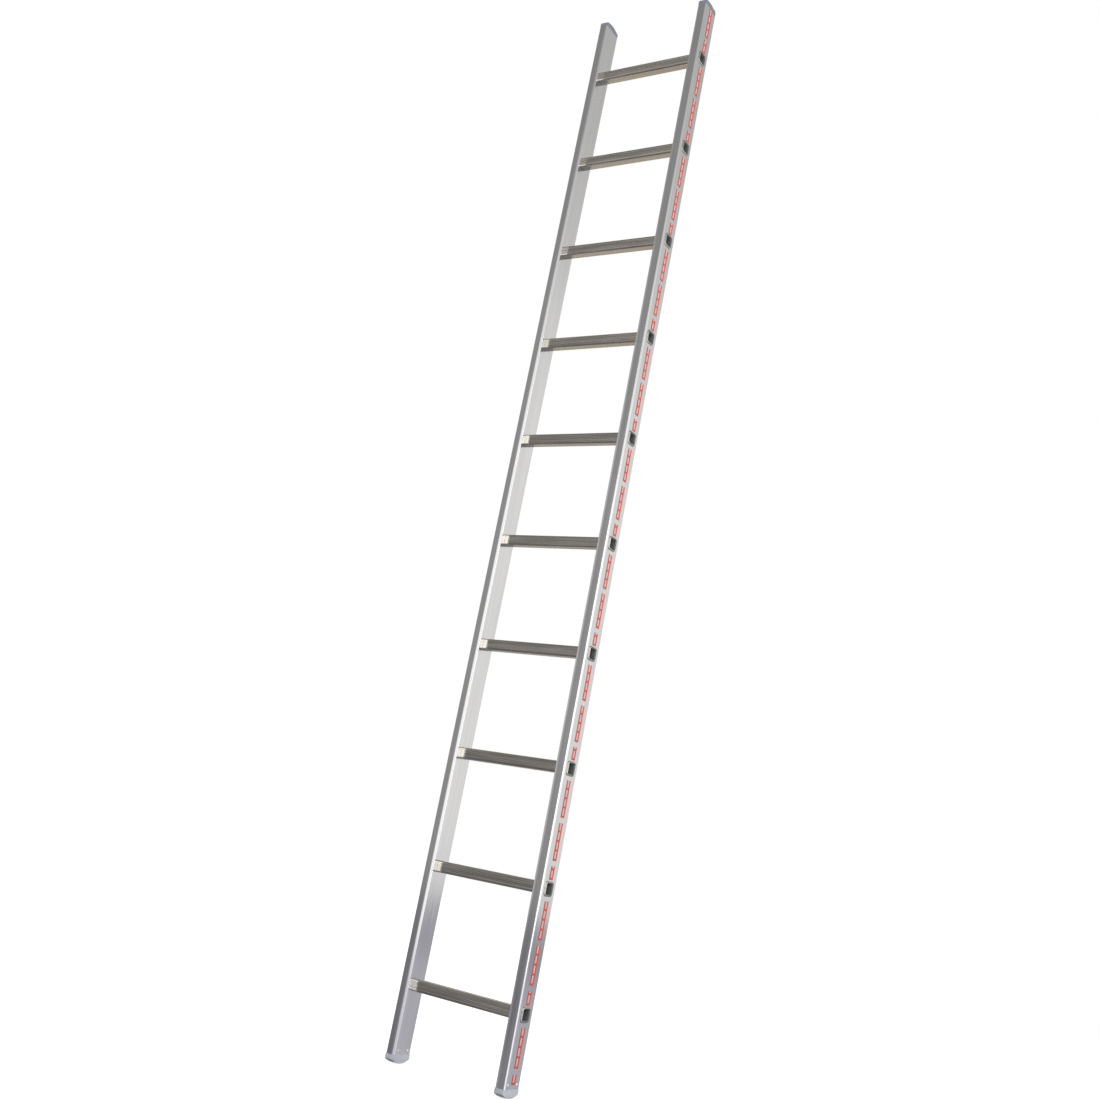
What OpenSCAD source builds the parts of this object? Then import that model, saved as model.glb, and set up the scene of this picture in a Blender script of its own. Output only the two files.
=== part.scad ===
// Single-section leaning rung ladder.
//
// Two hollow rectangular stiles stand along Z. Ten square rung tubes pass through both of them and
// are locked there by a rolled bead on each side of each stile. A riveted foot closes the lower end
// of each stile and a pressed-in cap closes the upper end.
//
// Frame: the origin is on the ground, midway between the feet. X runs along the rungs, -Y is the
// climber's side, +Y is the side that leans on the wall, and Z runs up the stiles.

/* [Overall] */
// Width over the outer faces of the two stiles
overall_width = 340; // [280:1:450]
// Number of rungs
rung_count = 10; // [3:1:14]
// Distance from the centre of one rung to the next
rung_pitch = 280; // [220:1:340]
// Height of the lowest rung's centre above the sole of the feet
first_rung_height = 180; // [130:1:280]
// Distance from the highest rung's centre to the top of the caps
top_rung_margin = 177; // [110:1:280]

/* [Stiles] */
// Depth of a stile, from the climber's side to the wall side
stile_depth = 62; // [50:1:90]
// Thickness of a stile, along the rungs
stile_thickness = 25; // [20:0.5:32]
// Wall of the two wide sides, which hold the rungs
stile_side_wall = 1.5; // [1.2:0.1:2.5]
// Wall of the two narrow sides
stile_edge_wall = 2.2; // [1.5:0.1:3]
// Radius of the two edges on the side away from the rungs
outer_corner = 5; // [3:0.5:6]
// Radius of the two edges on the side of the rungs, which are rounder for the hands
grip_corner = 9; // [6:0.5:10]

/* [Rungs] */
// Width and height of the rung tube, without its ribs
rung_size = 27; // [22:0.5:36]
// Wall of the rung tube
rung_wall = 1.6; // [1.2:0.1:2.4]
// Corner radius of the rung tube
rung_corner = 3.5; // [2.5:0.5:5]
// Ribs along each face of the rung
ribs_per_face = 5; // [3:1:7]
// Height of a rib
rib_height = 0.6; // [0.4:0.1:1]
// Radius of the rolled bead on the outside of a stile
outer_bead = 2.5; // [1.5:0.1:3]
// Radius of the small bead on the inside of a stile
inner_bead = 1.4; // [1:0.1:2]

/* [Feet and caps] */
// Height of a foot below the stile, at the middle of its arch
foot_height = 20; // [16:1:30]
// Rise of the arched sole from its middle to the front and rear edges
foot_arch = 10; // [4:0.5:12]
// How far a foot stands out past the two wide sides of the stile
foot_side_overhang = 1; // [0.5:0.5:4]
// How far a foot stands out past the two narrow sides of the stile
foot_edge_overhang = 2.2; // [0.6:0.2:5]
// Height of a cap above the stile, at the middle of its arch
cap_height = 18; // [14:1:30]
// Drop of the arched top from its middle to the front and rear edges
cap_arch = 7; // [4:0.5:10]
// How far a cap stands out past the stile all round
cap_overhang = 0.3; // [0.1:0.1:2]
// Depth of the hollow plug that a foot or a cap holds inside the stile
plug_length = 36; // [24:1:60]
// Wall of the plug
plug_wall = 3; // [2:0.5:5]
// Gap between the plug and the inside of the stile, each side
plug_clearance = 0.1; // [0.05:0.05:0.3]

/* [Rivets] */
// Shank diameter of a foot rivet
rivet_diameter = 4; // [3:0.1:5]
// Diameter of its domed head
rivet_head_diameter = 7; // [6:0.5:9]
// Height of its domed head
rivet_head_height = 1.4; // [1:0.1:2]
// Distance between the two rivets of a foot
rivet_spacing = 37; // [26:1:38]
// Height of the rivets above the lower end of the stile
rivet_rise = 9.5; // [7:0.5:14]

/* [Hidden] */
$fn = 48;
stile_bottom = foot_height;
stile_top = first_rung_height + (rung_count - 1) * rung_pitch + top_rung_margin - cap_height;
stile_length = stile_top - stile_bottom;
// Distance of a stile's middle from the middle of the ladder
stile_x = (overall_width - stile_thickness) / 2;
// Inside of the stile
stile_inner_x = stile_thickness - 2 * stile_side_wall;
stile_inner_y = stile_depth - 2 * stile_edge_wall;
plug_x = stile_inner_x - 2 * plug_clearance;
plug_y = stile_inner_y - 2 * plug_clearance;
// What a corner's radius loses from the outline of the stile to the outline of the plug
plug_inset = stile_side_wall + plug_clearance;
rung_bore = rung_size - 2 * rung_wall;
rung_bore_corner = rung_corner - rung_wall;
// The ribs lie on the flat part of a face and stop clear of the inner beads
rib_pitch = (rung_size - 2 * rung_corner) / ribs_per_face;
rib_width = rib_pitch / 2;
rib_root = rung_wall / 2;
ribbed_length = overall_width - 2 * stile_thickness - 4 * inner_bead;
rivet_z = stile_bottom + rivet_rise;
// Radius of the sphere whose top is the domed head
rivet_dome = (pow(rivet_head_diameter / 2, 2) + pow(rivet_head_height, 2)) / (2 * rivet_head_height);
// Length that reaches past a face, so that a cut goes right through it
past = 1;
plastic_color = "slategray";
foot_color = "lightsteelblue";
metal_color = "silver";

function rung_z(i) = first_rung_height + (i - 1) * rung_pitch;
function rung_name(i) = str("rung_", i);

// Rectangle of x by y, centred, with round corners
module rounded_rect(x, y, radius) {
    square([x - 2 * radius, y], center = true);
    square([x, y - 2 * radius], center = true);
    for (side_x = [-1, 1], side_y = [-1, 1])
        translate([side_x * (x / 2 - radius), side_y * (y / 2 - radius)]) circle(radius);
}

// Outline of the right stile, x by y, centred, with its outer side towards +X
module stile_section(x, y, outer_radius, grip_radius) {
    square([x, y - 2 * grip_radius], center = true);
    translate([grip_radius - x / 2, -y / 2])
        square([x - grip_radius - outer_radius, y]);
    translate([grip_radius - x / 2, outer_radius - y / 2])
        square([x - grip_radius, y - 2 * outer_radius]);
    for (side_y = [-1, 1]) {
        translate([x / 2 - outer_radius, side_y * (y / 2 - outer_radius)]) circle(outer_radius);
        translate([grip_radius - x / 2, side_y * (y / 2 - grip_radius)]) circle(grip_radius);
    }
}

// Puts what is drawn round the Z axis at a stile: side is -1 for the left and 1 for the right
module on_side(side) {
    rotate(side < 0 ? 180 : 0) translate([stile_x, 0, 0]) children();
}

// Turns a shape drawn in XY and extruded along Z so that it runs along X at a rung's height
module along_rung(i) {
    translate([0, 0, rung_z(i)]) rotate([90, 0, 90]) children();
}

// Upper half of a disc
module half_disc(radius) {
    intersection() {
        circle(radius);
        translate([-radius, 0]) square([2 * radius, radius]);
    }
}

// Half-round bead around the rung tube. Its flat side lies at z = 0 and it bulges towards +Z.
module bead_ring(bead) {
    offset_out = bead - rung_wall / 2;
    path_corner = rung_corner + offset_out;
    path_half = rung_size / 2 + offset_out;
    straight = rung_size - 2 * rung_corner;
    for (turn = [0:90:270]) rotate(turn) {
        translate([straight / 2, straight / 2])
            rotate_extrude(angle = 90) translate([path_corner, 0]) half_disc(bead);
        translate([path_half, straight / 2])
            rotate([90, 0, 0]) linear_extrude(straight) half_disc(bead);
    }
}

// The ribs of all four faces, rooted in the tube's wall
module rib_profile() {
    for (turn = [0:90:270], k = [0:ribs_per_face - 1]) rotate(turn)
        translate([(k - (ribs_per_face - 1) / 2) * rib_pitch - rib_width / 2, rung_size / 2 - rib_root])
            square([rib_width, rib_root + rib_height]);
}

// One rung, through both stiles, with its end openings flush with the outer beads
module rung(i) {
    color(metal_color)
    along_rung(i) difference() {
        union() {
            linear_extrude(overall_width, center = true) rounded_rect(rung_size, rung_size, rung_corner);
            linear_extrude(ribbed_length, center = true) rib_profile();
            for (end = [0, 180]) rotate([0, end, 0]) {
                translate([0, 0, overall_width / 2]) bead_ring(outer_bead);
                translate([0, 0, overall_width / 2 - stile_thickness])
                    rotate([180, 0, 0]) bead_ring(inner_bead);
            }
        }
        linear_extrude(overall_width + 2 * outer_bead + 2 * past, center = true)
            rounded_rect(rung_bore, rung_bore, rung_bore_corner);
    }
}

// Round holes across the stile or the plug for the two rivets of a foot
module rivet_holes() {
    for (side = [-1, 1])
        translate([0, side * rivet_spacing / 2, rivet_z])
            rotate([0, 90, 0]) cylinder(d = rivet_diameter, h = stile_thickness + 2 * past, center = true);
}

module stile(side) {
    color(metal_color)
    on_side(side) difference() {
        translate([0, 0, stile_bottom]) linear_extrude(stile_length) difference() {
            stile_section(stile_thickness, stile_depth, outer_corner, grip_corner);
            stile_section(stile_inner_x, stile_inner_y,
                outer_corner - stile_side_wall, grip_corner - stile_side_wall);
        }
        for (i = [1:rung_count]) along_rung(i)
            linear_extrude(stile_thickness + 2 * past, center = true)
                rounded_rect(rung_size, rung_size, rung_corner);
        rivet_holes();
    }
}

// End piece of a stile with its arched face down at z = 0 and its hollow plug pointing up
module end_piece(height, arch, side_overhang, edge_overhang) {
    body_x = stile_thickness + 2 * side_overhang;
    body_y = stile_depth + 2 * edge_overhang;
    arch_radius = (pow(body_y / 2, 2) + pow(arch, 2)) / (2 * arch);
    intersection() {
        linear_extrude(height)
            stile_section(body_x, body_y, outer_corner + side_overhang, grip_corner + side_overhang);
        translate([0, 0, arch_radius]) rotate([0, 90, 0])
            cylinder(r = arch_radius, h = body_x + 2 * past, center = true, $fn = 180);
    }
    translate([0, 0, height]) linear_extrude(plug_length) difference() {
        stile_section(plug_x, plug_y, outer_corner - plug_inset, grip_corner - plug_inset);
        square([plug_x - 2 * plug_wall, plug_y - 2 * plug_wall], center = true);
    }
}

module foot(side) {
    color(foot_color)
    on_side(side) difference() {
        end_piece(foot_height, foot_arch, foot_side_overhang, foot_edge_overhang);
        rivet_holes();
    }
}

module cap(side) {
    color(plastic_color)
    on_side(side) translate([0, 0, stile_top + cap_height]) rotate([180, 0, 0])
        end_piece(cap_height, cap_arch, cap_overhang, cap_overhang);
}

// Domed rivet head standing on z = 0
module rivet_head() {
    intersection() {
        translate([0, 0, rivet_head_height - rivet_dome]) sphere(rivet_dome);
        cylinder(d = rivet_head_diameter, h = rivet_head_height);
    }
}

// The two through rivets of a foot, each with a head on both wide faces of the stile
module foot_rivets(side) {
    color(metal_color)
    on_side(side) for (row = [-1, 1])
        translate([0, row * rivet_spacing / 2, rivet_z]) rotate([0, 90, 0]) {
            cylinder(d = rivet_diameter, h = stile_thickness, center = true);
            for (end = [0, 180]) rotate([0, end, 0]) translate([0, 0, stile_thickness / 2]) rivet_head();
        }
}

stile(-1);  // left_stile
stile(1);  // right_stile
foot(-1);  // left_foot
foot(1);  // right_foot
cap(-1);  // left_cap
cap(1);  // right_cap
foot_rivets(-1);  // left_foot_rivets
foot_rivets(1);  // right_foot_rivets
for (i = [1:rung_count])
    rung(i);
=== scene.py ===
"""Looks of a single-section aluminium rung ladder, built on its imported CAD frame.

Units are metres. The ladder stands upright: rungs along X, climber's side at -Y, stiles along Z.
"""

import math

import bmesh
import bpy
from mathutils import Matrix, Vector


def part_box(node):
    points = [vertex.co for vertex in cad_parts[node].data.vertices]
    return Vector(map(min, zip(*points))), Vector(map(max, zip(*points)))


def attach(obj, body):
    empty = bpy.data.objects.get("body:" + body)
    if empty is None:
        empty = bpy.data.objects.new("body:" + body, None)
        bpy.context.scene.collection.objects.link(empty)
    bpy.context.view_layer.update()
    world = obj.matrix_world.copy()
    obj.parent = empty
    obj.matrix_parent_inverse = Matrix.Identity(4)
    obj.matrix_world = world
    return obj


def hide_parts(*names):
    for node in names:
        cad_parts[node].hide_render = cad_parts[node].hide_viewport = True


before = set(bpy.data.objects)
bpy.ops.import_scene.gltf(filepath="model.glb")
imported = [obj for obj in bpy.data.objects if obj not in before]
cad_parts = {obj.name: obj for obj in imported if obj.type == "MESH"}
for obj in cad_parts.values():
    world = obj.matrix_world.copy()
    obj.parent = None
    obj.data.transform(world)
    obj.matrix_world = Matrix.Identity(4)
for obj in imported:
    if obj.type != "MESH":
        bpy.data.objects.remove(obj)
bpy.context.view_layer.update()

MM = 0.001
# Points closer than this are one point
MERGE_DISTANCE = 1e-6
SIDES = {"left": -1, "right": 1}
RUNGS = sorted((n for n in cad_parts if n.startswith("rung_")), key=lambda n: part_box(n)[0][2])


# ---------------------------------------------------------------- camera

# The camera stands low in front of the ladder and to its right, turned about its own line of sight.
CAMERA_PLACE = Vector((1.727, -2.577, 0.507))
CAMERA_TARGET = Vector((-0.009, 0.0, 1.279))
CAMERA_ROLL = math.radians(11.14)
LENS_MM = 41.1
SENSOR_MM = 36.0


def make_camera():
    """The main view. The roll turns the camera's right-hand side up."""
    data = bpy.data.cameras.new("camera")
    data.lens = LENS_MM
    data.sensor_width = SENSOR_MM
    camera = bpy.data.objects.new("camera", data)
    bpy.context.collection.objects.link(camera)
    look = (CAMERA_TARGET - CAMERA_PLACE).to_track_quat("-Z", "Y").to_matrix().to_4x4()
    camera.matrix_world = Matrix.Translation(CAMERA_PLACE) @ look @ Matrix.Rotation(CAMERA_ROLL, 4, "Z")
    bpy.context.scene.camera = camera


make_camera()


# ---------------------------------------------------------------- node helpers

def srgb(code):
    """Linear RGBA from a six-digit sRGB hex colour."""
    channels = [int(code[i:i + 2], 16) / 255 for i in (0, 2, 4)]
    linear = [c / 12.92 if c <= 0.04045 else ((c + 0.055) / 1.055) ** 2.4 for c in channels]
    return (*linear, 1.0)


def add(tree, kind, inputs=None, **settings):
    """Adds a node. Each input is a value, or the output socket that is linked to it."""
    node = tree.nodes.new(kind)
    for key, value in settings.items():
        setattr(node, key, value)
    for key, value in (inputs or {}).items():
        if isinstance(value, bpy.types.NodeSocket):
            tree.links.new(value, node.inputs[key])
        else:
            node.inputs[key].default_value = value
    return node


def new_material(name):
    """A material with an empty node tree."""
    material = bpy.data.materials.new(name)
    material.use_nodes = True
    material.node_tree.nodes.clear()
    return material, material.node_tree


def finish_material(tree, shader):
    add(tree, "ShaderNodeOutputMaterial", {"Surface": shader.outputs[0]})


def stretched_noise(tree, size_mm, detail=3.0, roughness=0.55):
    """Noise in the object's own millimetres, whose grains measure size_mm along X, Y and Z."""
    place = add(tree, "ShaderNodeTexCoord").outputs["Object"]
    scale = tuple(1.0 / (s * MM) for s in size_mm)
    grid = add(tree, "ShaderNodeMapping", {"Vector": place, "Scale": scale}).outputs[0]
    return add(tree, "ShaderNodeTexNoise",
               {"Vector": grid, "Scale": 1.0, "Detail": detail, "Roughness": roughness}).outputs["Fac"]


# Noise mostly lies between these
NOISE_LOW = 0.3
NOISE_HIGH = 0.7


def spread(tree, value, low, high):
    """Maps noise to low..high."""
    return add(tree, "ShaderNodeMapRange",
               {"Value": value, "From Min": NOISE_LOW, "From Max": NOISE_HIGH,
                "To Min": low, "To Max": high}).outputs[0]


def tint(tree, value, dark, light):
    """A colour between two hex colours."""
    return add(tree, "ShaderNodeMix", {"Factor": value, "A": srgb(dark), "B": srgb(light)},
               data_type="RGBA").outputs["Result"]


# ---------------------------------------------------------------- materials

# What a die line adds to the roughness, and how strongly it shows as relief
LINE_ROUGHNESS = (-0.02, 0.03)
LINE_RELIEF = 0.3
# How much of the metal's shade follows its die lines, and how much its haze
LINE_SHARE = 0.7
HAZE_SHARE = 0.3


def extruded_aluminium(name, dark, light, lines_mm, blotch_mm, gloss, line_depth_mm):
    """Aluminium as the die left it. The eye gets a blurred mirror that die lines comb along its length,
    with slow patches of handling haze."""
    material, tree = new_material(name)
    lines = stretched_noise(tree, lines_mm, detail=4.0)
    blotch = stretched_noise(tree, blotch_mm, detail=2.0)
    rough = add(tree, "ShaderNodeMath",
                {0: spread(tree, lines, *LINE_ROUGHNESS), 1: spread(tree, blotch, *gloss)},
                operation="ADD").outputs[0]
    shade = add(tree, "ShaderNodeMath",
                {0: spread(tree, lines, 0.0, LINE_SHARE), 1: spread(tree, blotch, 0.0, HAZE_SHARE)},
                operation="ADD").outputs[0]
    bump = add(tree, "ShaderNodeBump",
               {"Height": lines, "Strength": LINE_RELIEF, "Distance": line_depth_mm * MM}).outputs[0]
    shader = add(tree, "ShaderNodeBsdfPrincipled",
                 {"Base Color": tint(tree, shade, dark, light), "Metallic": 1.0, "Roughness": rough,
                  "Normal": bump})
    finish_material(tree, shader)
    return material


BORE_STREAKS_MM = (60, 2.5, 2.5)
BORE_ROUGHNESS = (0.4, 0.55)


def shaded_bore():
    """Inside of the rung tube. The eye gets a dark, faintly streaked grey with no mirror: painted shade for
    the dim inside of the tube.
    """
    material, tree = new_material("painted_shade_tube_bore")
    streaks = stretched_noise(tree, BORE_STREAKS_MM)
    shader = add(tree, "ShaderNodeBsdfPrincipled",
                 {"Base Color": tint(tree, spread(tree, streaks, 0.0, 1.0), "666c6a", "7e8482"),
                  "Roughness": spread(tree, streaks, *BORE_ROUGHNESS)})
    finish_material(tree, shader)
    return material


# Spark erosion of the mould is finer than this; it is drawn as coarse as it needs to be to show close up
GRAIN_MM = (0.6, 0.6, 0.6)
GRAIN_DEPTH = 0.08 * MM
GRAIN_RELIEF = 0.25
# What the grain adds to the plastic's roughness
GRAIN_SMOOTHER = 0.05
GRAIN_ROUGHER = 0.07
FLOW_MARKS_MM = (14, 14, 14)


def moulded_plastic(name, dark, light, rough):
    """Plastic from a spark-eroded mould. The eye gets an even colour with a soft, faintly grainy sheen."""
    material, tree = new_material(name)
    grain = stretched_noise(tree, GRAIN_MM, detail=2.0)
    blotch = stretched_noise(tree, FLOW_MARKS_MM)
    bump = add(tree, "ShaderNodeBump",
               {"Height": grain, "Strength": GRAIN_RELIEF, "Distance": GRAIN_DEPTH}).outputs[0]
    shader = add(tree, "ShaderNodeBsdfPrincipled",
                 {"Base Color": tint(tree, spread(tree, blotch, 0.0, 1.0), dark, light),
                  "Roughness": spread(tree, grain, rough - GRAIN_SMOOTHER, rough + GRAIN_ROUGHER),
                  "Normal": bump})
    finish_material(tree, shader)
    return material


INK_PATCHES_MM = (2.5, 2.5, 2.5)
INK_ROUGHNESS = (0.42, 0.55)


def screen_print(name, thin, full):
    """Screen-printed enamel ink. The eye gets a flat, half-glossy colour, a little paler where it is thin."""
    material, tree = new_material(name)
    cover = stretched_noise(tree, INK_PATCHES_MM, detail=4.0)
    shader = add(tree, "ShaderNodeBsdfPrincipled",
                 {"Base Color": tint(tree, spread(tree, cover, 0.0, 1.0), thin, full),
                  "Roughness": spread(tree, cover, *INK_ROUGHNESS)})
    finish_material(tree, shader)
    return material


# Real die lines are a fraction of a millimetre apart. Both extrusions have them as coarse as they need to be
# to show: along Z on the stiles, along X on the rungs.
STILE_METAL = extruded_aluminium("extruded_aluminium_stile", "dfdfdf", "ebebeb", lines_mm=(2.0, 2.0, 400),
                                 blotch_mm=(30, 30, 260), gloss=(0.11, 0.16), line_depth_mm=0.01)
# The rung metal is darker and warmer than the stile metal: painted shade from the ribs shading each other,
# and a painted reflection of the dim, warm room the rung fronts face
SHADED_RUNG_METAL = extruded_aluminium("extruded_aluminium_rung", "a39e97", "d1ccc2", lines_mm=(900, 2.6, 2.6),
                                blotch_mm=(140, 12, 12), gloss=(0.2, 0.28), line_depth_mm=0.02)
# Wire headed in a die: no lines, an even satin grain instead
RIVET_METAL = extruded_aluminium("headed_aluminium_rivet", "f0f0f0", "fafafa", lines_mm=(0.6, 0.6, 0.6),
                                 blotch_mm=(3, 3, 3), gloss=(0.45, 0.55), line_depth_mm=0.01)
# The dark grey of the tube's inside is painted shade, not a colour of the metal
SHADED_TUBE_BORE = shaded_bore()
FOOT_PLASTIC = moulded_plastic("moulded_foot_plastic", "d2d5df", "dee1e9", rough=0.5)
CAP_PLASTIC = moulded_plastic("moulded_cap_plastic", "818b96", "8f99a4", rough=0.45)
RED_PRINT = screen_print("screen_printed_red", "df6459", "cf4f46")
PALE_PRINT = screen_print("screen_printed_pale_red", "fbd0c9", "f6beb5")


# ---------------------------------------------------------------- mesh helpers

SHARP_ANGLE = math.radians(40)
CUT_TOLERANCE = 1e-7


def only(kind, geom):
    """The items of one kind among what an operator gives back."""
    return [g for g in geom if isinstance(g, kind)]


def finish_piece(name, bm, slot, node, *materials):
    """Turns a bmesh into a piece of the ladder, shaded smooth except at its real edges."""
    mesh = bpy.data.meshes.new(name)
    bm.to_mesh(mesh)
    bm.free()
    for material in materials:
        mesh.materials.append(material)
    mesh.shade_smooth()
    mesh.set_sharp_from_angle(angle=SHARP_ANGLE)
    piece = bpy.data.objects.new(name, mesh)
    bpy.context.collection.objects.link(piece)
    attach(piece, "root")
    if node:
        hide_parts(node)
    return piece


def keep_flats_flat(piece):
    """Large flat faces decide the shading where they meet a narrow curved one."""
    piece.modifiers.new("flats_stay_flat", "WEIGHTED_NORMAL").keep_sharp = True


def ring_of(bm, points):
    """A closed ring of edges through the points."""
    verts = [bm.verts.new(p) for p in points]
    return [bm.edges.new((a, b)) for a, b in zip(verts, verts[1:] + verts[:1])]


def cut(bm, place, normal, geom=None):
    """Splits the geometry, or the whole mesh, along a plane and keeps both sides."""
    bmesh.ops.bisect_plane(bm, geom=geom or bm.verts[:] + bm.edges[:] + bm.faces[:], plane_co=place,
                           plane_no=normal, dist=CUT_TOLERANCE)


def middle_and_half(low, high):
    return (low + high) / 2, (high - low) / 2


# ---------------------------------------------------------------- stiles

STILE_WALL = 1.5 * MM
STILE_HALF_X = middle_and_half(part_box("left_stile")[0][0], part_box("left_stile")[1][0])[1]
# Half axes, along X and Y, of the oval edges: small and long on the outside, wide and low at the grip
OUTER_EDGE = (2.2 * MM, 9.0 * MM)
GRIP_EDGE = (13.0 * MM, 2.4 * MM)
SMALLEST_EDGE = 0.3 * MM
EDGE_STEPS = 10


def stile_outline(sign, centre_x, half_x, half_y, z):
    """Outline of a stile, or of what follows it, with its outer side towards sign * X."""
    grow = half_x - STILE_HALF_X
    points = []
    corners = ((1, -1, OUTER_EDGE, -90), (1, 1, OUTER_EDGE, 0),
               (-1, 1, GRIP_EDGE, 90), (-1, -1, GRIP_EDGE, 180))
    for side_x, side_y, oval, start in corners:
        a, b = (max(radius + grow, SMALLEST_EDGE) for radius in oval)
        for step in range(EDGE_STEPS + 1):
            turn = math.radians(start + 90 * step / EDGE_STEPS)
            x = side_x * (half_x - a) + a * math.cos(turn)
            y = side_y * (half_y - b) + b * math.sin(turn)
            points.append((centre_x + sign * x, y, z))
    return points


def make_stile(side):
    """Hollow extrusion with a square hole through both wide walls at each rung."""
    node = f"{side}_stile"
    low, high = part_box(node)
    centre_x, half_x = middle_and_half(low[0], high[0])
    bm = bmesh.new()
    ring = ring_of(bm, stile_outline(SIDES[side], centre_x, half_x, high[1], low[2]))
    top = only(bmesh.types.BMVert, bmesh.ops.extrude_edge_only(bm, edges=ring)["geom"])
    bmesh.ops.translate(bm, verts=top, vec=(0, 0, high[2] - low[2]))
    levels = [middle_and_half(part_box(rung)[0][2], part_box(rung)[1][2])[0] for rung in RUNGS]
    for edge in (-HOLE_HALF, HOLE_HALF):
        cut(bm, (0, edge, 0), (0, 1, 0))
        for level in levels:
            cut(bm, (0, 0, level + edge), (0, 0, 1))
    holes = []
    for face in bm.faces:
        middle = face.calc_center_median()
        if abs(middle.y) < HOLE_HALF and any(abs(middle.z - level) < HOLE_HALF for level in levels):
            holes.append(face)
    bmesh.ops.delete(bm, geom=holes, context="FACES")
    bmesh.ops.recalc_face_normals(bm, faces=bm.faces)
    if sum(f.normal.y * f.calc_center_median().y for f in bm.faces) < 0:
        bmesh.ops.reverse_faces(bm, faces=bm.faces)
    piece = finish_piece(f"{side}_stile_extrusion", bm, "stile_metal", node, STILE_METAL)
    wall = piece.modifiers.new("wall", "SOLIDIFY")
    wall.thickness = STILE_WALL
    wall.offset = -1.0
    keep_flats_flat(piece)


# ---------------------------------------------------------------- rungs

TUBE_HALF = 13.5 * MM
TUBE_CORNER = 3.5 * MM
CORNER_STEPS = 6
# The hole's edges end inside the tube's wall
HOLE_HALF = TUBE_HALF - 1.1 * MM
RIB_COUNT = 5
RIB_HEIGHT = 0.5 * MM
RIB_PITCH = 2 * (TUBE_HALF - TUBE_CORNER) / RIB_COUNT
# Share of the pitch at which a rib begins and ends
RIB_BEGINS = 0.2
RIB_ENDS = 0.8
STEPS_PER_RIB = 4
# Where the ribs stop, short of the stile's inner face
RIB_END_GAP = 9.0 * MM
RIB_RUN_OUT = 0.8 * MM
# Small bead against the stile's inner face: distance from the face and growth of the tube's outline
INNER_BEAD = ((1.0, 0.0), (0.6, 0.45), (0.0, 0.7), (-0.7, 0.0))
# Rolled mouth: distance past the stile's outer face and growth of the tube's outline
ROLLED_MOUTH = ((-0.4, 0.0), (0.0, 4.2), (0.9, 4.1), (1.7, 3.4), (2.3, 2.3), (2.5, 1.2), (2.4, 0.3),
                (1.9, -0.4), (0.9, -1.2), (-1.0, -1.6))
# Stations of the mouth that lie inside its crest, where the dark bore with its painted shade begins
MOUTH_INSIDE = 5
# A direction whose smaller part is below this points straight away from a flat
STRAIGHT_AWAY = 1e-4


def tube_outline():
    """Round-cornered square in the YZ plane, with a point every quarter of a rib along its flats."""
    flat = TUBE_HALF - TUBE_CORNER
    steps = RIB_COUNT * STEPS_PER_RIB
    points = []
    for quarter in range(4):
        turn = Matrix.Rotation(math.radians(90 * quarter), 2)
        for step in range(steps):
            points.append(turn @ Vector((TUBE_HALF, -flat + 2 * flat * step / steps)))
        for step in range(CORNER_STEPS):
            angle = math.radians(90 * step / CORNER_STEPS)
            across = flat + TUBE_CORNER * math.cos(angle)
            up = flat + TUBE_CORNER * math.sin(angle)
            points.append(turn @ Vector((across, up)))
    return [(0.0, p.x, p.y) for p in points]


def rib_growth(along):
    """Height of the ribbed surface over the plain tube, at a point of a flat."""
    phase = (along / RIB_PITCH + RIB_COUNT / 2) % 1.0
    return RIB_HEIGHT if RIB_BEGINS < phase < RIB_ENDS else 0.0


def place_ring(verts, x, z, growth, ribbed):
    """Moves a ring of the tube to x and grows its outline. z is the height of the rung's middle."""
    flat = TUBE_HALF - TUBE_CORNER
    for vert in verts:
        root = Vector((max(-flat, min(flat, vert.co.y)), max(-flat, min(flat, vert.co.z - z))))
        away = (Vector((vert.co.y, vert.co.z - z)) - root).normalized()
        grown = TUBE_CORNER + growth
        if ribbed and min(abs(away.x), abs(away.y)) < STRAIGHT_AWAY:
            grown += rib_growth(root.y if abs(away.x) > abs(away.y) else root.x)
        vert.co = (x, root.x + away.x * grown, z + root.y + away.y * grown)


def rung_stations(inner_face, outer_face):
    """Half of the closed path along the tube: x, growth and whether ribbed, from the ribs to the bore."""
    rib_end = inner_face - RIB_END_GAP
    path = [(rib_end - RIB_RUN_OUT, 0.0, True), (rib_end, 0.0, False)]
    path += [(inner_face - gap * MM, grow * MM, False) for gap, grow in INNER_BEAD]
    path += [(outer_face + proud * MM, grow * MM, False) for proud, grow in ROLLED_MOUTH]
    return path


def make_rung(node):
    """Square tube with ribs between the stiles and a rolled mouth outside each of them."""
    stile_low, stile_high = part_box("right_stile")
    low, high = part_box(node)
    level = middle_and_half(low[2], high[2])[0]
    right = rung_stations(stile_low[0], stile_high[0])
    path = right + [(-x, growth, ribbed) for x, growth, ribbed in reversed(right)]
    bm = bmesh.new()
    ring = ring_of(bm, [(x, y, z + level) for x, y, z in tube_outline()])
    place_ring({v for e in ring for v in e.verts}, path[0][0], level, *path[0][1:])
    bore_from = len(right) - MOUTH_INSIDE
    bore_to = len(path) - bore_from
    for index, (x, growth, ribbed) in enumerate(path[1:] + path[:1], 1):
        geom = bmesh.ops.extrude_edge_only(bm, edges=ring)["geom"]
        verts = only(bmesh.types.BMVert, geom)
        place_ring(verts, x, level, growth, ribbed)
        fresh = set(verts)
        ring = [e for e in only(bmesh.types.BMEdge, geom) if e.verts[0] in fresh and e.verts[1] in fresh]
        for face in only(bmesh.types.BMFace, geom):
            face.material_index = 1 if bore_from < index < bore_to else 0
    bmesh.ops.remove_doubles(bm, verts=bm.verts, dist=MERGE_DISTANCE)
    bmesh.ops.recalc_face_normals(bm, faces=bm.faces)
    keep_flats_flat(finish_piece(f"{node}_tube", bm, "rung_metal", node, SHADED_RUNG_METAL, SHADED_TUBE_BORE))


# ---------------------------------------------------------------- feet and caps

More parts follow.
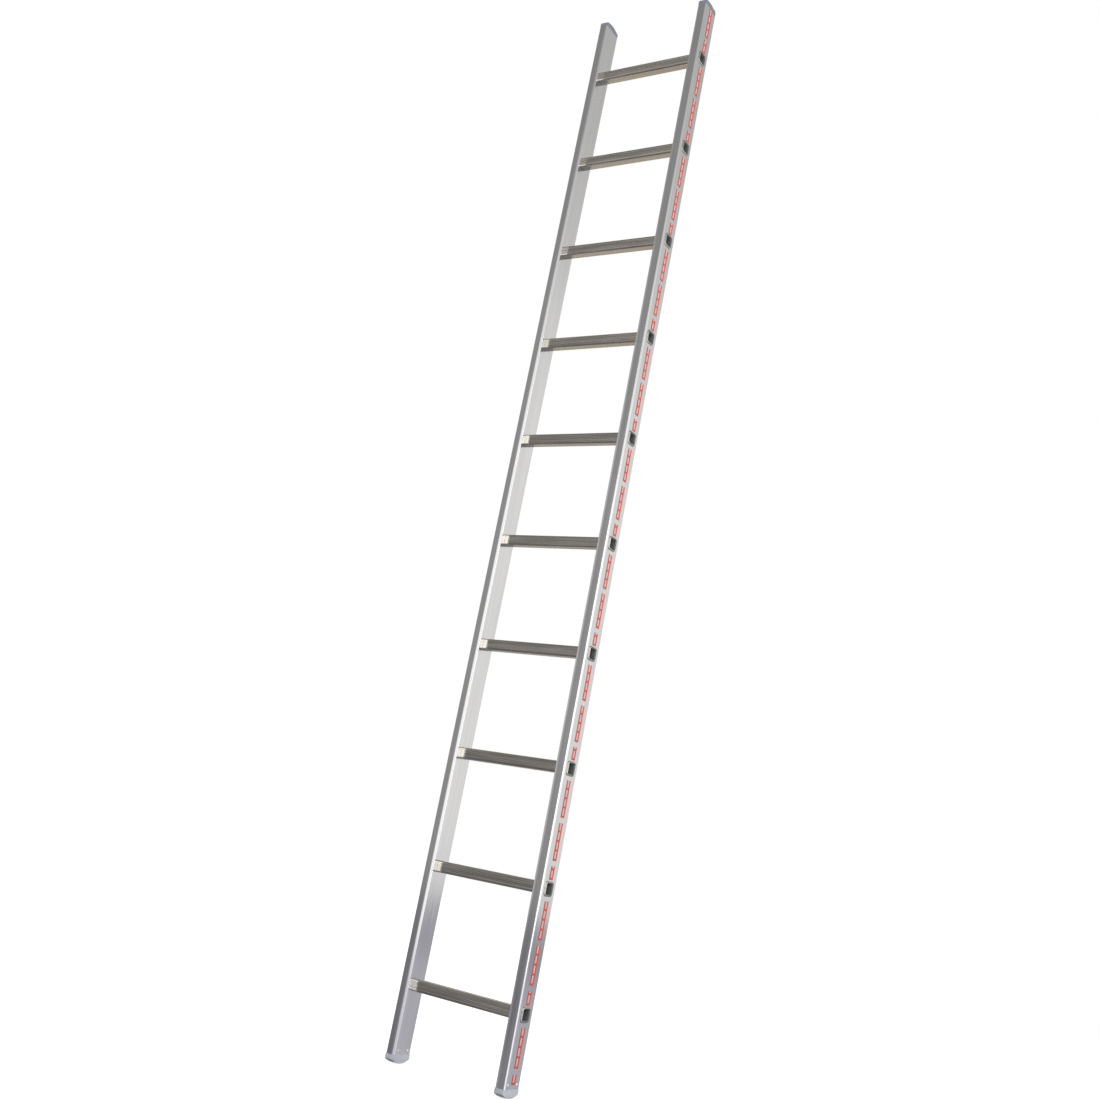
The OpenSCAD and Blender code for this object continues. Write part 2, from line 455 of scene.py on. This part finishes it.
ARCH_STEPS = 16
ROUNDING_STEPS = 4
PLUG_DEPTH = 36 * MM
PLUG_WALL = 3 * MM
PLUG_GAP = 0.1 * MM
LIP_CHAMFER = 0.5 * MM
TREAD_POCKETS = [y * MM for y in (-20, -10, 0, 10, 20)]
TREAD_HALF_WIDTH = 2.5 * MM
TREAD_EDGE = 1.0 * MM
TREAD_DEPTH = 1.2 * MM
FOOT_ARCH = 10 * MM
FOOT_ROUNDING = 1.6 * MM
CAP_ARCH = 7 * MM
CAP_ROUNDING = 2.2 * MM
# The arch bends what lies within this many roundings of the tip
ARCH_REACH = 1.01


def end_piece_path(half_x, half_y, stile_half_y, height, rounding):
    """Stations from the floor of the plug's hollow to the tip: distance out, half x and half y."""
    plug_x, plug_y = (half - STILE_WALL - PLUG_GAP for half in (STILE_HALF_X, stile_half_y))
    path = [(0.0, plug_x - PLUG_WALL, plug_y - PLUG_WALL),
            (-PLUG_DEPTH, plug_x - PLUG_WALL, plug_y - PLUG_WALL),
            (-PLUG_DEPTH, plug_x, plug_y), (0.0, plug_x, plug_y),
            (0.0, half_x - LIP_CHAMFER, half_y - LIP_CHAMFER), (LIP_CHAMFER, half_x, half_y)]
    for step in range(ROUNDING_STEPS + 1):
        turn = math.radians(90 * step / ROUNDING_STEPS)
        shrink = rounding * (1 - math.cos(turn))
        path.append((height - rounding * (1 - math.sin(turn)), half_x - shrink, half_y - shrink))
    return path


def skin_through(bm, outlines):
    """A skin through outlines of equally many points, joined point to point. Gives its end rings."""
    first = ring = ring_of(bm, outlines[0])
    for before, after in zip(outlines, outlines[1:]):
        goal = {Vector(old).freeze(): new for old, new in zip(before, after)}
        geom = bmesh.ops.extrude_edge_only(bm, edges=ring)["geom"]
        fresh = set(only(bmesh.types.BMVert, geom))
        for vert in fresh:
            vert.co = goal[vert.co.copy().freeze()]
        ring = [e for e in only(bmesh.types.BMEdge, geom) if e.verts[0] in fresh and e.verts[1] in fresh]
    return first, ring


def press_tread(bm, tip, up):
    """Presses a row of shallow pockets across the sole."""
    for middle in TREAD_POCKETS:
        pocket = [f for f in tip if abs(f.calc_center_median().y - middle) < TREAD_HALF_WIDTH]
        bmesh.ops.inset_region(bm, faces=pocket, thickness=TREAD_EDGE, use_even_offset=True)
        bmesh.ops.translate(bm, verts=list({v for f in pocket for v in f.verts}),
                            vec=(0, 0, up * TREAD_DEPTH))


def make_end_piece(node, joint_z, tip_z, arch, rounding, slot, material, tread):
    """Moulded end of a stile: an arched tip outside, a hollow plug inside."""
    side = node.split("_")[0]
    low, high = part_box(node)
    centre_x, half_x = middle_and_half(low[0], high[0])
    half_y = high[1]
    out = 1 if tip_z > joint_z else -1
    path = end_piece_path(half_x, half_y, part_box(f"{side}_stile")[1][1], abs(tip_z - joint_z), rounding)
    bm = bmesh.new()
    floor_ring, tip_ring = skin_through(
        bm, [stile_outline(SIDES[side], centre_x, x, y, joint_z + out * along) for along, x, y in path])
    bmesh.ops.contextual_create(bm, geom=floor_ring)
    tip = bmesh.ops.contextual_create(bm, geom=tip_ring)["faces"]

    levels = [half_y * (2 * step / ARCH_STEPS - 1) for step in range(1, ARCH_STEPS)]
    if tread:
        levels += [y + edge for y in TREAD_POCKETS for edge in (-TREAD_HALF_WIDTH, TREAD_HALF_WIDTH)]
    for level in levels:
        cut(bm, (0, level, 0), (0, 1, 0), tip + list({e for f in tip for e in f.edges}))
        tip = [f for f in bm.faces if all(abs(v.co.z - tip_z) < MERGE_DISTANCE for v in f.verts)]
    radius = (half_y ** 2 + arch ** 2) / (2 * arch)
    for vert in bm.verts:
        if abs(vert.co.z - tip_z) < rounding * ARCH_REACH:
            vert.co.z -= out * (radius - math.sqrt(radius ** 2 - vert.co.y ** 2))
    if tread:
        press_tread(bm, tip, -out)
    bmesh.ops.recalc_face_normals(bm, faces=bm.faces)
    keep_flats_flat(finish_piece(f"{node}_moulding", bm, slot, node, material))


def make_foot(side):
    """Foot with an arched, treaded sole on the ground."""
    stile_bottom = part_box(f"{side}_stile")[0][2]
    make_end_piece(f"{side}_foot", stile_bottom, 0.0, arch=FOOT_ARCH, rounding=FOOT_ROUNDING,
                   slot="foot_plastic", material=FOOT_PLASTIC, tread=True)


def make_cap(side):
    """Cap with an arched top."""
    stile_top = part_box(f"{side}_stile")[1][2]
    tip_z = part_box(f"{side}_cap")[1][2]
    make_end_piece(f"{side}_cap", stile_top, tip_z, arch=CAP_ARCH, rounding=CAP_ROUNDING,
                   slot="cap_plastic", material=CAP_PLASTIC, tread=False)


# ---------------------------------------------------------------- rivets

RIVET_SPACING = 37 * MM
# The rivet's own sizes, in mm
SHANK_RADIUS = 2.0
HEAD_RADIUS = 3.5
HEAD_HEIGHT = 1.4
# Radius of the hollow that the pulled pin leaves in the head, and how deep its floor lies
PIN_RADIUS = 0.9
PIN_DEPTH = 0.5
DOME_STEPS = 6
STEPS_ROUND = 28


def rivet_profile(half_length):
    """Points from the rivet's axis at one end to its axis at the other: distance along it, radius."""
    dome = (HEAD_RADIUS ** 2 + HEAD_HEIGHT ** 2) / (2 * HEAD_HEIGHT)
    floor = HEAD_HEIGHT - PIN_DEPTH
    half = [(floor, 0.0), (floor, PIN_RADIUS)]
    for step in range(DOME_STEPS + 1):
        radius = PIN_RADIUS + (HEAD_RADIUS - PIN_RADIUS) * step / DOME_STEPS
        half.append((math.sqrt(dome ** 2 - radius ** 2) - dome + HEAD_HEIGHT, radius))
    half.append((0.0, SHANK_RADIUS))
    head = [(half_length + along * MM, radius * MM) for along, radius in half]
    return head + [(-along, radius) for along, radius in reversed(head)]


def make_rivets(side):
    """The two through rivets of a foot."""
    node = f"{side}_foot_rivets"
    low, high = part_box(node)
    stile_low, stile_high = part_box(f"{side}_stile")
    centre_x, half_x = middle_and_half(stile_low[0], stile_high[0])
    level = middle_and_half(low[2], high[2])[0]
    bm = bmesh.new()
    for row in (-1, 1):
        axis = Vector((centre_x, row * RIVET_SPACING / 2, level))
        verts = [bm.verts.new(axis + Vector((along, 0, radius))) for along, radius in rivet_profile(half_x)]
        edges = [bm.edges.new(pair) for pair in zip(verts, verts[1:])]
        bmesh.ops.spin(bm, geom=verts + edges, cent=axis, axis=(1, 0, 0), angle=2 * math.pi,
                       steps=STEPS_ROUND, use_merge=True)
    bmesh.ops.remove_doubles(bm, verts=bm.verts, dist=MERGE_DISTANCE)
    bmesh.ops.recalc_face_normals(bm, faces=bm.faces)
    finish_piece(f"{side}_foot_rivet_pair", bm, "rivet_metal", node, RIVET_METAL)


# ---------------------------------------------------------------- printed marking

# A plain dashed double line with bars across it, printed between the rung mouths. All in mm.
PRINT_THICKNESS = 0.12
PRINT_MIDDLE_Y = 2.0
PRINT_HALF_WIDTH = 8.5
WINDOW_HALF_WIDTH = 3.2
DASH_LENGTH = 88.0
DASH_PITCH = 100.0
BAR_PITCH = 22.0
BAR_WIDTH = 5.0
CLEAR_ABOVE_MOUTH = 3.0
CLEAR_BELOW_MOUTH = 10.0
CLEAR_BELOW_CAP = 1.0
SHORTEST_DASH = 12.0


def dash_spans():
    """Lowest and highest z, in mm, of each dash."""
    low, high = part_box("right_stile")
    mouths = [tuple(z / MM for z in (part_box(rung)[0][2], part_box(rung)[1][2])) for rung in RUNGS]
    starts = [low[2] / MM + CLEAR_BELOW_MOUTH]
    starts += [top + CLEAR_ABOVE_MOUTH for bottom, top in mouths]
    ends = [bottom - CLEAR_BELOW_MOUTH for bottom, top in mouths]
    ends += [high[2] / MM - CLEAR_BELOW_CAP]
    for start, end in zip(starts, ends):
        while end - start > SHORTEST_DASH:
            yield max(start, end - DASH_LENGTH), end
            end -= DASH_PITCH


def faces_between(bm, start, end):
    """Faces whose middle lies between two heights in mm."""
    return [f for f in bm.faces if start * MM < f.calc_center_median().z < end * MM]


def make_marking():
    """Raised screen print on the outer face of the right stile, where the real one carries lettering."""
    face_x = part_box("right_stile")[1][0]
    bm = bmesh.new()
    for start, end in dash_spans():
        half = PRINT_HALF_WIDTH
        corners = [(face_x, (PRINT_MIDDLE_Y + y) * MM, z * MM)
                   for y, z in ((-half, start), (half, start), (half, end), (-half, end))]
        dash = bmesh.ops.contextual_create(bm, geom=ring_of(bm, corners))["faces"]
        bars = [start + BAR_WIDTH / 2]
        while bars[-1] + BAR_PITCH < end:
            bars.append(bars[-1] + BAR_PITCH)
        planes = [((0, (PRINT_MIDDLE_Y + y) * MM, 0), (0, 1, 0))
                  for y in (-WINDOW_HALF_WIDTH, WINDOW_HALF_WIDTH)]
        planes += [((0, 0, (bar + edge) * MM), (0, 0, 1))
                   for bar in bars for edge in (-BAR_WIDTH / 2, BAR_WIDTH / 2)]
        for place, normal in planes:
            inside = faces_between(bm, start, end)
            cut(bm, place, normal, inside + list({e for f in inside for e in f.edges}))
        for face in faces_between(bm, start, end):
            middle = face.calc_center_median()
            on_bar = any(abs(middle.z / MM - bar) < BAR_WIDTH / 2 for bar in bars)
            in_window = abs(middle.y / MM - PRINT_MIDDLE_Y) < WINDOW_HALF_WIDTH
            face.material_index = 1 if in_window and not on_bar else 0
    geom = bmesh.ops.extrude_face_region(bm, geom=bm.faces[:], use_keep_orig=True)["geom"]
    bmesh.ops.translate(bm, verts=only(bmesh.types.BMVert, geom), vec=(PRINT_THICKNESS * MM, 0, 0))
    bmesh.ops.recalc_face_normals(bm, faces=bm.faces)
    finish_piece("stile_marking", bm, "marking_print", None, RED_PRINT, PALE_PRINT)


for side in SIDES:
    make_stile(side)
    make_foot(side)
    make_cap(side)
    make_rivets(side)
for rung in RUNGS:
    make_rung(rung)
make_marking()


# ---------------------------------------------------------------- studio

# Brightness of what stands round the ladder, by compass angle: 0 is the climber's side, 90 the right.
STUDIO_STRENGTH = 1.3
WALLS_AT_EYE_HEIGHT = ((-180, "cfccc8"), (-145, "e2dfda"), (-115, "b4b3b1"), (-50, "acabaa"), (-44, "868586"),
                       (-27, "868586"), (-20, "ffffff"), (-12, "ffffff"), (-7, "dcdcdc"), (7, "dcdcdc"),
                       (12, "ffffff"), (44, "ffffff"), (52, "c8c8c8"), (97, "c0c0c0"), (102, "f4f4f4"),
                       (136, "f4f4f4"), (143, "cfcecd"), (170, "cfcecd"), (180, "c4c3c2"))
WALLS_HIGH_UP = ((-180, "a09e9b"), (-60, "8c8b8b"), (-46, "7f7e7e"), (-26, "7f7e7e"), (0, "aaa9a8"),
                 (60, "aaa9a8"), (150, "a9a8a6"), (180, "a09e9b"))
CEILING = "8f8c88"
# Z of the direction over which eye height turns into high up, and high up into the ceiling
WALLS_BLEND = (0.28, 0.6)
CEILING_BLEND = (0.62, 0.9)
LENS_WHITE = "ffffff"

FLOOR_HALF = 8.5
# What the lens sees of the floor
FLOOR_PAINT = "f4f4f4"
FLOOR_PAINT_ROUGHNESS = 0.9
FLOOR_PAINT_GLOW = 0.7
# Pools of light on the floor, by compass angle, for the metal to mirror
FLOOR_STRENGTH = 1.5
FLOOR = ((-180, "a89f94"), (-144, "f6e8d6"), (-110, "807e7c"), (-52, "5b5b60"), (-46, "65656a"),
         (-28, "65656a"), (-22, "f0f0f0"), (44, "f0f0f0"), (60, "8c8c90"), (90, "96969a"), (134, "8c8c93"),
         (143, "76767e"), (160, "76767e"), (180, "a89f94"))
FLOOR_GLOSS = "cacad3"
FLOOR_GLOSS_ROUGHNESS = 0.05
# The floor is nearly a mirror up to the first distance, and mostly pools of light from the second
MIRROR_TO = 2.0
POOLS_FROM = 4.0
MIRROR_SHARE_NEAR = 0.95
MIRROR_SHARE_FAR = 0.3


def compass_of(tree, x, y):
    """Compass angle of a direction or a place, from 0 to 1 for -180 to 180 degrees."""
    climber = add(tree, "ShaderNodeMath", {0: y, 1: -1.0}, operation="MULTIPLY").outputs[0]
    angle = add(tree, "ShaderNodeMath", {0: x, 1: climber}, operation="ARCTAN2").outputs[0]
    return add(tree, "ShaderNodeMath", {0: angle, 1: 0.5 / math.pi, 2: 0.5},
               operation="MULTIPLY_ADD").outputs[0]


def wall_ramp(tree, compass, stops):
    """Colour by compass angle, which runs from 0 to 1 for -180 to 180 degrees."""
    node = add(tree, "ShaderNodeValToRGB", {"Fac": compass})
    ramp = node.color_ramp
    while len(ramp.elements) > 1:
        ramp.elements.remove(ramp.elements[-1])
    for index, (angle, colour) in enumerate(stops):
        place = angle / 360 + 0.5
        element = ramp.elements[0] if index == 0 else ramp.elements.new(place)
        element.position = place
        element.color = srgb(colour)
    return node.outputs["Color"]


def blend_up(tree, height, span, under, over):
    """Mixes two colours as the height goes through the span."""
    low, high = span
    share = add(tree, "ShaderNodeMapRange", {"Value": height, "From Min": low, "From Max": high},
                interpolation_type="SMOOTHSTEP").outputs[0]
    return add(tree, "ShaderNodeMix", {"Factor": share, "A": under, "B": over},
               data_type="RGBA").outputs["Result"]


def make_world():
    """White to the lens. The metal mirrors soft walls, with bright openings in front and on the right."""
    world = bpy.data.worlds.new("studio")
    bpy.context.scene.world = world
    world.use_nodes = True
    tree = world.node_tree
    tree.nodes.clear()
    way = add(tree, "ShaderNodeTexCoord").outputs["Generated"]
    parts = add(tree, "ShaderNodeSeparateXYZ", {"Vector": way}).outputs
    compass = compass_of(tree, parts["X"], parts["Y"])
    walls = blend_up(tree, parts["Z"], WALLS_BLEND, wall_ramp(tree, compass, WALLS_AT_EYE_HEIGHT),
                     wall_ramp(tree, compass, WALLS_HIGH_UP))
    room = blend_up(tree, parts["Z"], CEILING_BLEND, walls, srgb(CEILING))
    seen = add(tree, "ShaderNodeLightPath").outputs["Is Camera Ray"]
    mirrored = add(tree, "ShaderNodeBackground", {"Color": room, "Strength": STUDIO_STRENGTH})
    plain = add(tree, "ShaderNodeBackground", {"Color": srgb(LENS_WHITE), "Strength": 1.0})
    shader = add(tree, "ShaderNodeMixShader", {"Fac": seen, 1: mirrored.outputs[0], 2: plain.outputs[0]})
    add(tree, "ShaderNodeOutputWorld", {"Surface": shader.outputs[0]})


def make_floor():
    """Plain pale floor, white to the lens. The metal mirrors a glossy sheet with pools of light on it."""
    half = FLOOR_HALF
    mesh = bpy.data.meshes.new("floor")
    corners = [(-half, -half, 0), (half, -half, 0), (half, half, 0), (-half, half, 0)]
    mesh.from_pydata(corners, [], [(0, 1, 2, 3)])
    floor = bpy.data.objects.new("floor", mesh)
    bpy.context.collection.objects.link(floor)
    material, tree = new_material("painted_studio_floor")
    seen = add(tree, "ShaderNodeLightPath").outputs["Is Camera Ray"]
    white = add(tree, "ShaderNodeBsdfPrincipled",
                {"Base Color": srgb(FLOOR_PAINT), "Roughness": FLOOR_PAINT_ROUGHNESS,
                 "Emission Color": srgb(LENS_WHITE), "Emission Strength": FLOOR_PAINT_GLOW})
    place = add(tree, "ShaderNodeTexCoord").outputs["Object"]
    parts = add(tree, "ShaderNodeSeparateXYZ", {"Vector": place}).outputs
    pools = wall_ramp(tree, compass_of(tree, parts["X"], parts["Y"]), FLOOR)
    sheet = add(tree, "ShaderNodeEmission", {"Color": pools, "Strength": FLOOR_STRENGTH})
    gloss = add(tree, "ShaderNodeBsdfGlossy",
                {"Color": srgb(FLOOR_GLOSS), "Roughness": FLOOR_GLOSS_ROUGHNESS})
    away = add(tree, "ShaderNodeVectorMath", {0: place}, operation="LENGTH").outputs["Value"]
    polish = add(tree, "ShaderNodeMapRange",
                 {"Value": away, "From Min": MIRROR_TO, "From Max": POOLS_FROM,
                  "To Min": MIRROR_SHARE_NEAR, "To Max": MIRROR_SHARE_FAR},
                 interpolation_type="SMOOTHSTEP").outputs[0]
    mirrored = add(tree, "ShaderNodeMixShader", {"Fac": polish, 1: sheet.outputs[0], 2: gloss.outputs[0]})
    shader = add(tree, "ShaderNodeMixShader", {"Fac": seen, 1: mirrored.outputs[0], 2: white.outputs[0]})
    finish_material(tree, shader)
    mesh.materials.append(material)


def area_light(name, place, target, size, radiance):
    """A softbox of that width and height. Its power follows from how bright it looks."""
    data = bpy.data.lights.new(name, "AREA")
    data.shape = "RECTANGLE"
    data.size, data.size_y = size
    data.energy = radiance * math.pi * size[0] * size[1]
    light = bpy.data.objects.new(name, data)
    bpy.context.collection.objects.link(light)
    light.location = place
    light.rotation_euler = (Vector(target) - Vector(place)).to_track_quat("-Z", "Y").to_euler()


make_floor()
make_world()
area_light("side_softbox", place=(2.9, 0.9, 1.1), target=(0, 0, 1.1), size=(1.5, 2.2), radiance=1.4)
area_light("key_softbox", place=(2.35, -3.2, 1.9), target=(0, 0, 1.5), size=(1.3, 3.4), radiance=1.7)
bpy.context.scene.view_settings.view_transform = "Standard"
